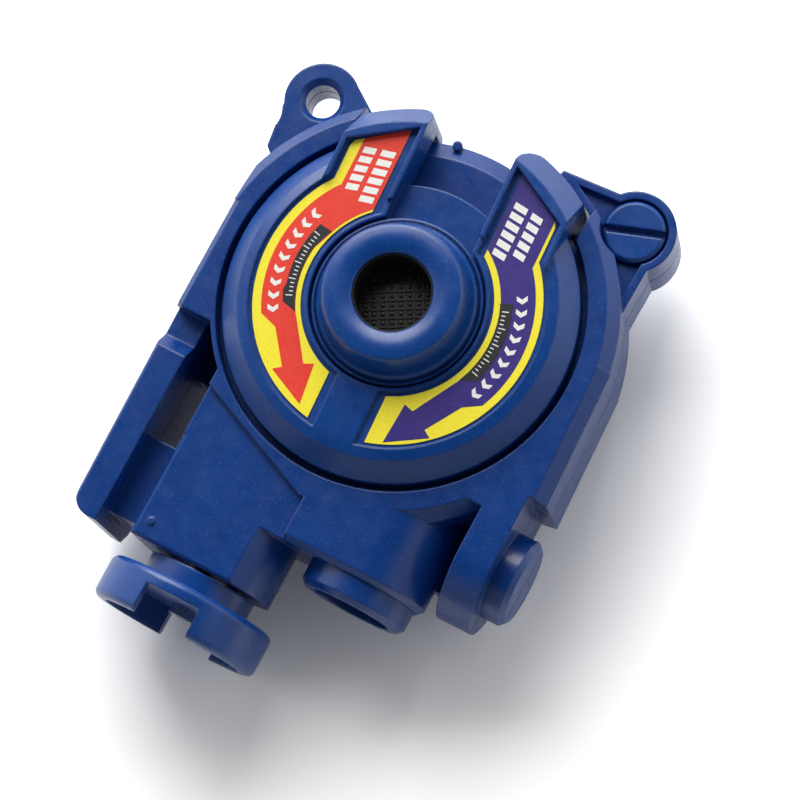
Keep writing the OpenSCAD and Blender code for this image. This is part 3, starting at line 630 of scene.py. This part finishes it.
def outline_mesh(name: str, outlines: Iterable[Sequence[Place]], **settings: object) -> bpy.types.Object:
    """Draws closed outlines as a curve and makes it a mesh.

    Args:
        name: Name of the piece.
        outlines: Points of each outline in millimetres.
        **settings: Attributes of the curve, such as how far it is extruded.

    Returns:
        The piece, picked.
    """
    curve = bpy.data.curves.new(name, "CURVE")
    for key, value in settings.items():
        setattr(curve, key, value)
    for outline in outlines:
        spline = curve.splines.new("POLY")
        spline.points.add(len(outline) - 1)
        for point, (x, y, z) in zip(spline.points, outline):
            point.co = (x * MM, y * MM, z * MM, 1)
        spline.use_cyclic_u = True
    shape = bpy.data.objects.new(name, curve)
    bpy.context.scene.collection.objects.link(shape)
    pick(shape)
    bpy.ops.object.convert(target="MESH")
    return bpy.context.object


def flat_shape(name: str, outlines: Iterable[Sequence[Point]], low: float, high: float,
               turn: float = 0.0, side: int = 1) -> bpy.types.Object:
    """Fills closed outlines as one flat piece of even thickness.

    Args:
        name: Name of the piece.
        outlines: Closed outlines in millimetres in the dial's own frame.
        low: Height of the lower face in millimetres.
        high: Height of the upper face in millimetres.
        turn: Turn about the dial's axis in degrees.
        side: 1 keeps the outlines, -1 mirrors them to the dial's other half.

    Returns:
        The piece as a mesh.
    """
    placed = [[(side * x, y, 0.0) for x, y in outline] for outline in outlines]
    shape = outline_mesh(name, placed, dimensions="2D", fill_mode="BOTH", extrude=(high - low) / 2 * MM)
    weld(shape)
    shape.location = (0, 0, (low + high) / 2 * MM)
    shape.rotation_euler = (0, 0, math.radians(turn))
    settle(shape)
    return shape


def turned_shape(name: str, profile: Sequence[Point], steps: int = 128,
                 smooth_angle: float = 32.0) -> bpy.types.Object:
    """Turns a closed profile round the dial's axis.

    Args:
        name: Name of the piece.
        profile: Closed outline of the section, as radius and height in millimetres.
        steps: Facets of the full turn.
        smooth_angle: Edges sharper than this many degrees stay sharp.

    Returns:
        The piece as a mesh.
    """
    shape = outline_mesh(name, [[(r, 0.0, z) for r, z in profile]], dimensions="3D")
    spin = shape.modifiers.new("spin", "SCREW")
    spin.steps = spin.render_steps = steps
    bpy.ops.object.modifier_apply(modifier=spin.name)
    weld(shape)
    shade_smooth(smooth_angle)
    return shape


@dataclass
class HubCap:
    """Cap of the dial's hub: a shallow dish round the finger hole, a soft shoulder and a skirt that
    runs in a fillet into the trench of the dial. Heights of the dish are measured from the top."""

    hole_r: float = 5.6
    outer_r: float = 10.5
    rim_r: float = 9.85
    rim_drop: float = 0.15
    top_z: float = 30.38
    foot_z: float = 25.26
    shoulder: float = 0.75
    mouth: float = 0.3
    mouth_drop: float = 0.42
    dish: Sequence[Point] = ((6.5, -0.2), (7.2, -0.06), (7.8, 0.0), (8.4, -0.05))
    fillet: float = 1.5
    fillet_lift: float = 0.25
    pocket_r: float = 6.95
    pocket_z: float = 25.75
    trench_in_r: float = 11.52
    trench_z: float = 24.85

    def profile(self) -> list[Point]:
        """Draws the section of the cap, from the finger hole outwards.

        Returns:
            The closed outline.
        """
        mouth = (self.hole_r + self.mouth, self.top_z - self.mouth_drop - self.mouth)
        rim = (self.rim_r - self.shoulder, self.top_z - self.rim_drop - self.shoulder)
        root = (self.outer_r + self.fillet, self.trench_z + self.fillet_lift + self.fillet)
        return [
            (self.hole_r, self.pocket_z),
            *corner(mouth, self.mouth, 180, 105, 5),
            *((r, self.top_z + rise) for r, rise in self.dish),
            *corner(rim, self.shoulder, 80, 12, 10),
            *corner(root, self.fillet, 180, 268, 12),
            (root[0], self.trench_z), (self.trench_in_r, self.trench_z), (self.trench_in_r, self.foot_z),
            (self.pocket_r, self.foot_z), (self.pocket_r, self.pocket_z),
        ]

    def build(self, finishes: Finishes) -> bpy.types.Object:
        """Builds the cap.

        Args:
            finishes: The launcher's materials.

        Returns:
            The cap, which stands for its node.
        """
        cap = turned_shape("hub_cap_moulding", self.profile())
        return seat(cap, finishes.dial, Body.DIAL, ["hub_cap"])


@dataclass(frozen=True)
class BarColumn:
    """One column of plain bars on a horn, with the place of its lowest bar."""

    left: float
    low: float
    width: float
    count: int


@dataclass
class SpinLabel:
    """One printed label of the dial: yellow foil with an arrow that grows out of the horn, a black
    panel beside it, and plain marks where it says its meaning. Drawn on the dial's right half. The
    places and sizes of chevrons and ticks along the band are in degrees."""

    name: str
    node: str
    side: int
    slot: Slot
    arrow: Sequence[Point]
    panel: Sequence[Point]
    channel_x: float
    dial_turn: float = 3.1
    seat_z: float = 25.0
    foil_t: float = 0.15
    ink_t: float = 0.02
    inner_r: float = 13.45
    outer_r: float = 20.2
    end_x: float = 4.35
    lip: Point = (15.35, 18.85)
    lip_slope: float = 0.649
    horn_side: Sequence[Point] = ((15.72, 18.0), (15.72, 12.9))
    horn_angle: float = 39.0
    columns: Sequence[BarColumn] = (BarColumn(9.2, 11.3, 2.0, 6), BarColumn(11.95, 12.2, 1.75, 5))
    bar_pitch: float = 1.42
    bar_t: float = 0.95
    bar_slant: float = 0.35
    chevron_count: int = 9
    chevron_start: float = 25.5
    chevron_pitch: float = 6.2
    chevron_radii: Sequence[float] = (16.55, 17.3, 18.05)
    chevron_lead: float = 1.7
    chevron_t: float = 2.3
    tick_count: int = 17
    tick_start: float = 17.5
    tick_pitch: float = 2.3
    tick_t: float = 0.55
    tick_r: float = 14.65
    tick_rise: float = 0.55
    long_tick_rise: float = 0.95
    long_tick_every: int = 4

    def foil(self) -> list[Point]:
        """Draws the outline of the whole label.

        Returns:
            The closed outline.
        """
        low, near = (math.degrees(math.acos(x / self.inner_r)) for x in (self.end_x, self.channel_x))
        far = math.degrees(math.acos(self.end_x / self.outer_r))
        tip_y = self.lip[1] + self.lip_slope * (self.lip[0] - self.channel_x)
        return [*arc(self.inner_r, -low, near), (self.channel_x, tip_y), self.lip, *self.horn_side,
                *arc(self.outer_r, self.horn_angle, -far)]

    def bars(self) -> list[list[Point]]:
        """Draws plain slanted bars on the horn, in columns.

        Returns:
            The outline of each bar.
        """
        shapes = []
        for column in self.columns:
            left, right = column.left, column.left + column.width
            for i in range(column.count):
                low = column.low + i * self.bar_pitch
                top = low + self.bar_t
                shapes.append([(left, low), (right, low - self.bar_slant),
                               (right, top - self.bar_slant), (left, top)])
        return shapes

    def chevrons(self) -> list[list[Point]]:
        """Draws chevrons along the band, pointing with the arrow.

        Returns:
            The outline of each chevron.
        """
        inner, middle, outer = self.chevron_radii
        shapes = []
        for i in range(self.chevron_count):
            front = self.chevron_start - i * self.chevron_pitch
            back = front - self.chevron_t
            outline = ((inner, front), (middle, front - self.chevron_lead), (outer, front),
                       (outer, back), (middle, back - self.chevron_lead), (inner, back))
            shapes.append([polar(radius, angle) for radius, angle in outline])
        return shapes

    def ticks(self) -> list[list[Point]]:
        """Draws thin ticks on the black panel, each fourth one longer.

        Returns:
            The outline of each tick.
        """
        shapes = []
        for i in range(self.tick_count):
            front = self.tick_start - i * self.tick_pitch
            back = front - self.tick_t
            top = self.tick_r + (self.tick_rise if i % self.long_tick_every else self.long_tick_rise)
            outline = ((self.tick_r, front), (top, front), (top, back), (self.tick_r, back))
            shapes.append([polar(radius, angle) for radius, angle in outline])
        return shapes

    def build(self, finishes: Finishes) -> None:
        """Builds the foil and its printed layers.

        Args:
            finishes: The launcher's materials.
        """
        top = self.seat_z + self.foil_t
        foil = flat_shape(f"{self.name}_foil", [self.foil()], self.seat_z, top, self.dial_turn, self.side)
        seat(foil, finishes.yellow, Body.DIAL, [self.node])
        layers = (
            ("arrow", [self.arrow], finishes.of(self.slot), 1),
            ("panel", [self.panel], finishes.black, 2),
            ("bars", self.bars(), finishes.white, 2),
            ("chevrons", self.chevrons(), finishes.white, 2),
            ("ticks", self.ticks(), finishes.white, 3),
        )
        for part, outlines, material, level in layers:
            layer = flat_shape(f"{self.name}_{part}", outlines, top - self.ink_t,
                               top + level * self.ink_t, self.dial_turn, self.side)
            seat(layer, material, Body.DIAL)


RED_CHANNEL_X = 8.65
RED_ARROW: list[Point] = [
    (RED_CHANNEL_X, 23.2), (14.25, 19.56), (14.4, 12.2), *arc(18.95, 39.0, -28.0), (14.04, -9.9),
    (10.7, -14.66), (11.86, -15.46), (6.15, -18.47), (6.76, -12.51), (8.15, -13.1),
    *arc(14.15, -29.0, 10.0), *arc(13.75, 20.0, 51.0),
]
RED_PANEL: list[Point] = [(12.68, 5.5), *arc(15.75, 22.0, -14.0), (15.4, -4.6), (14.7, -6.2),
                          *arc(14.2, -29.0, 10.0), (13.2, 4.5)]
VIOLET_CHANNEL_X = 8.4
VIOLET_ARROW: list[Point] = [
    (VIOLET_CHANNEL_X, 23.36), (15.3, 18.88), (15.25, 11.7), *arc(19.15, 37.2, -27.0), (14.58, -10.05),
    (11.24, -14.91), (12.38, -15.68), (6.7, -18.78), (7.26, -12.74), (8.61, -13.2),
    *arc(14.35, -28.5, 54.1),
]
VIOLET_PANEL: list[Point] = [(13.2, 5.2), *arc(16.1, 21.9, -22.1), *arc(14.3, -28.0, 20.5)]


@dataclass
class GripPad:
    """Black rubber cup in the finger hole: its floor has a grid of ribs with a stud in each cell, and
    its thin wall lines the hole."""

    radius: float = 6.9
    low: float = 24.68
    thickness: float = 0.8
    edge: float = 0.15
    facets: int = 96
    pitch: float = 1.25
    rib: float = 0.16
    rise: float = 0.16
    stud_r: float = 0.3
    stud_height_share: float = 0.6
    stud_segments: int = 10
    stud_rings: int = 6
    shown_r: float = 5.5
    wall_r: float = 5.58
    wall_t: float = 0.22
    wall_z: float = 29.55
    wall_sink: float = 0.1
    turn: float = 28.4
    smooth_angle: float = 40.0

    @property
    def floor_z(self) -> float:
        """Height of the floor that the ribs and studs stand on."""
        return self.low + self.thickness

    def base(self) -> bpy.types.Object:
        """Makes the disc, with a small bevel round its top.

        Returns:
            The disc.
        """
        deselect_all()
        bpy.ops.mesh.primitive_cylinder_add(
            vertices=self.facets, radius=self.radius * MM, depth=self.thickness * MM,
            location=(0, 0, (self.low + self.thickness / 2) * MM))
        disc = bpy.context.object
        disc.name = "grip_pad_disc"
        bevel = disc.modifiers.new("edge", "BEVEL")
        bevel.width, bevel.segments, bevel.limit_method = self.edge * MM, 2, "ANGLE"
        bpy.ops.object.modifier_apply(modifier=bevel.name)
        return disc

    def lining(self) -> bpy.types.Object:
        """Makes the thin wall that stands up in the finger hole, with a rounded edge.

        Returns:
            The wall.
        """
        inner, half = self.wall_r - self.wall_t, self.wall_t / 2
        foot = self.floor_z - self.wall_sink
        edge = corner((inner + half, self.wall_z - half), half, 180, 0, 6)
        return turned_shape("grip_pad_lining", [(inner, foot), *edge, (self.wall_r, foot)])

    def ribs(self) -> list[bpy.types.Object]:
        """Makes the ribs of the grid, both ways.

        Returns:
            The ribs.
        """
        made = []
        count = int(self.shown_r // self.pitch)
        for way in (0, 90):
            for i in range(-count, count + 1):
                reach = 2 * math.sqrt(self.shown_r ** 2 - (i * self.pitch) ** 2)
                deselect_all()
                bpy.ops.mesh.primitive_cube_add(size=1, location=(0, 0, 0))
                rib = bpy.context.object
                rib.dimensions = (reach * MM, self.rib * MM, 2 * self.rise * MM)
                rib.location = (0, i * self.pitch * MM, self.floor_z * MM)
                settle(rib)
                rib.rotation_euler = (0, 0, math.radians(way))
                settle(rib)
                made.append(rib)
        return made

    def studs(self) -> list[bpy.types.Object]:
        """Makes one low round stud and copies it into each cell of the grid.

        Returns:
            The copies.
        """
        made = []
        count = int(self.shown_r // self.pitch) + 1
        deselect_all()
        bpy.ops.mesh.primitive_uv_sphere_add(
            segments=self.stud_segments, ring_count=self.stud_rings, radius=self.stud_r * MM)
        first = bpy.context.object
        first.scale = (1, 1, self.stud_height_share)
        bpy.ops.object.transform_apply(location=False, rotation=False, scale=True)
        for i in range(-count, count):
            for j in range(-count, count):
                x, y = (i + 0.5) * self.pitch, (j + 0.5) * self.pitch
                if math.hypot(x, y) > self.shown_r - self.stud_r:
                    continue
                stud = first.copy()
                stud.data = first.data.copy()
                stud.data.transform(Matrix.Translation((x * MM, y * MM, self.floor_z * MM)))
                bpy.context.scene.collection.objects.link(stud)
                made.append(stud)
        bpy.data.objects.remove(first)
        return made

    def build(self, finishes: Finishes) -> bpy.types.Object:
        """Builds the pad as one piece.

        Args:
            finishes: The launcher's materials.

        Returns:
            The pad.
        """
        disc = self.base()
        parts = [disc, self.lining(), *self.ribs(), *self.studs()]
        deselect_all()
        for part in parts:
            part.select_set(True)
        bpy.context.view_layer.objects.active = disc
        bpy.ops.object.join()
        disc.rotation_euler = (0, 0, math.radians(self.turn))
        shade_smooth(self.smooth_angle)
        return seat(disc, finishes.rubber, Body.DIAL, ["grip_pad"])


@dataclass
class RecessWeb:
    """Thin moulded web of the back shell in the corner of the case's recess, beside the lug."""

    low: float = 10.6
    high: float = 12.6
    outline: Sequence[Point] = ((12.9, 21.6), (15.0, 23.9), (17.4, 21.9), (15.6, 19.7))

    def build(self, finishes: Finishes) -> bpy.types.Object:
        """Builds the web.

        Args:
            finishes: The launcher's materials.

        Returns:
            The web.
        """
        web = flat_shape("recess_web", [self.outline], self.low, self.high)
        return seat(web, finishes.case, Body.CASE)


@dataclass
class Table:
    """Plain white table that the launcher lies on. Seen or mirrored, it is as bright as an overexposed
    sheet of paper, and it throws back the light of a plain one."""

    width: float = 6000.0
    albedo: float = 0.85
    seen: float = 1.45
    mirrored: float = 1.2

    def paper(self) -> bpy.types.Material:
        """Builds the table's material.

        Returns:
            The material.
        """
        material = bpy.data.materials.new("white_table")
        tree = fresh_tree(material)
        path = add_node(tree, "ShaderNodeLightPath")
        mirrored = calculate(tree, "MAXIMUM", path.outputs["Is Glossy Ray"],
                             path.outputs["Is Transmission Ray"])
        plain, dull, bright = (
            add_node(tree, "ShaderNodeBsdfDiffuse", None, {"Color": (level, level, level, 1.0)}).outputs[0]
            for level in (self.albedo, self.mirrored, self.seen))
        thrown = add_node(tree, "ShaderNodeMixShader", None, {"Fac": mirrored, 1: plain, 2: dull})
        shader = add_node(tree, "ShaderNodeMixShader", None,
                          {"Fac": path.outputs["Is Camera Ray"], 1: thrown.outputs[0], 2: bright})
        add_node(tree, "ShaderNodeOutputMaterial", None, {"Surface": shader.outputs[0]})
        return material

    def build(self) -> bpy.types.Object:
        """Builds the table's top.

        Returns:
            The table's top.
        """
        deselect_all()
        bpy.ops.mesh.primitive_plane_add(size=self.width * MM, location=(0, 0, 0))
        top = bpy.context.object
        top.name = "table"
        top.data.materials.append(self.paper())
        LOG.info("%s is the stage", top.name)
        return top


@dataclass
class Studio:
    """Camera at the photograph's angle, soft window from the upper left and an even pale room. The
    camera's turn is in degrees about X, Y and Z, and the window's way has its parts along the
    picture's right, along its up and towards the camera."""

    position: Place = (111.089, -78.286, 451.178)
    turn: Place = (14.059, 8.0218, 28.4084)
    lens: float = 146.5
    sensor: float = 36.0
    clip: Span = (10.0, 20000.0)
    horizon_strength: float = 1.1
    overhead_strength: float = 0.03
    overhead_rise: Span = (0.6, 0.85)
    near_share: float = 0.35
    near_reach: Span = (-0.55, 0.25)
    window_way: Place = (-0.25, 1.2, 0.44)
    window_distance: float = 1600.0
    window_size: float = 1300.0
    window_power: float = 31.0

    def axes(self) -> Matrix:
        """Returns the camera's turn, whose columns are the picture's right, its up and its back."""
        return Euler([math.radians(angle) for angle in self.turn]).to_matrix()

    def camera(self) -> None:
        """Makes the camera and sets it as the scene's."""
        data = bpy.data.cameras.new("camera")
        data.lens = self.lens
        data.sensor_width = self.sensor
        data.clip_start, data.clip_end = (distance * MM for distance in self.clip)
        camera = bpy.data.objects.new("camera", data)
        bpy.context.scene.collection.objects.link(camera)
        camera.matrix_world = Matrix.Translation(Vector(self.position) * MM) @ self.axes().to_4x4()
        bpy.context.scene.camera = camera

    def window(self) -> None:
        """Adds the soft square light of a window, which looks at the launcher."""
        way = (self.axes() @ Vector(self.window_way)).normalized()
        data = bpy.data.lights.new("window", "AREA")
        data.energy, data.size = self.window_power, self.window_size * MM
        light = bpy.data.objects.new("window", data)
        bpy.context.scene.collection.objects.link(light)
        light.location = way * self.window_distance * MM
        light.rotation_mode = "QUATERNION"
        light.rotation_quaternion = (-way).to_track_quat("-Z", "Y")

    def room(self) -> None:
        """Adds pale light from the far sides, bright at the horizon, and dim overhead and on the near
        side, as in a small light tent with the camera's dark opening."""
        world = bpy.data.worlds.new("room")
        tree = fresh_tree(world)
        way = add_node(tree, "ShaderNodeTexCoord").outputs["Generated"]
        rise = add_node(tree, "ShaderNodeSeparateXYZ", None, {"Vector": way}).outputs["Z"]
        strength = remap(tree, rise, self.overhead_rise, (self.horizon_strength, self.overhead_strength),
                         smooth=True)
        up = self.axes().col[1]
        across = add_node(tree, "ShaderNodeVectorMath", {"operation": "DOT_PRODUCT"},
                          {0: way, 1: (up.x, up.y, 0.0)}).outputs["Value"]
        side = remap(tree, across, self.near_reach, (self.near_share, 1.0), smooth=True)
        glow = add_node(tree, "ShaderNodeBackground", None,
                        {"Color": WHITE, "Strength": calculate(tree, "MULTIPLY", strength, side)})
        add_node(tree, "ShaderNodeOutputWorld", None, {"Surface": glow.outputs[0]})
        bpy.context.scene.world = world

    def build(self) -> None:
        """Sets up the camera, the room and the window."""
        self.camera()
        self.room()
        self.window()
        bpy.context.scene.view_settings.view_transform = "Standard"


@dataclass
class Launcher:
    """The whole launcher: its mouldings, its hardware, the dial's labels and the pad."""

    finishes: Finishes = field(default_factory=Finishes)
    mouldings: Sequence[MouldedPart] = (
        MouldedPart("front_shell", Body.CASE, Slot.CASE),
        MouldedPart("back_shell", Body.CASE, Slot.CASE),
        MouldedPart("socket_tube", Body.CASE, Slot.CASE),
        MouldedPart("dial", Body.DIAL, Slot.DIAL),
        MouldedPart("spindle_head", Body.SPINDLE, Slot.DIAL),
        MouldedPart("lock_pin", Body.PIN, Slot.DIAL),
        MouldedPart("spin_gate", Body.GATE, Slot.NATURAL),
        MouldedPart("head_screw", Body.SPINDLE, Slot.STEEL),
        MouldedPart("case_screws", Body.CASE, Slot.STEEL),
        MouldedPart("lock_pin_clip", Body.PIN, Slot.STEEL),
    )
    labels: Sequence[SpinLabel] = (
        SpinLabel("right_spin", "right_spin_label", -1, Slot.RED, RED_ARROW, RED_PANEL, RED_CHANNEL_X),
        SpinLabel("left_spin", "left_spin_label", 1, Slot.VIOLET, VIOLET_ARROW, VIOLET_PANEL,
                  VIOLET_CHANNEL_X),
    )

    def dress_hidden_nodes(self) -> None:
        """Gives each node that keeps its CAD shape the material of its slot."""
        shown = {part.node for part in self.mouldings}
        for entry in frame["record"]["subparts"]:
            if entry["node"] in shown:
                continue
            node = frame["nodes"][entry["node"]]
            node.data.materials.clear()
            node.data.materials.append(self.finishes.of(Slot(entry["material_slot"])))
            LOG.info("%s keeps its shape", entry["node"])

    def build(self) -> None:
        """Builds every piece of the launcher in order."""
        self.dress_hidden_nodes()
        for piece in (*self.mouldings, *self.labels, HubCap(), RecessWeb(), GripPad()):
            piece.build(self.finishes)


def main() -> None:
    """Builds the stage and the launcher."""
    Studio().build()
    Table().build()
    Launcher().build()
    deselect_all()


if __name__ == "__main__":
    main()
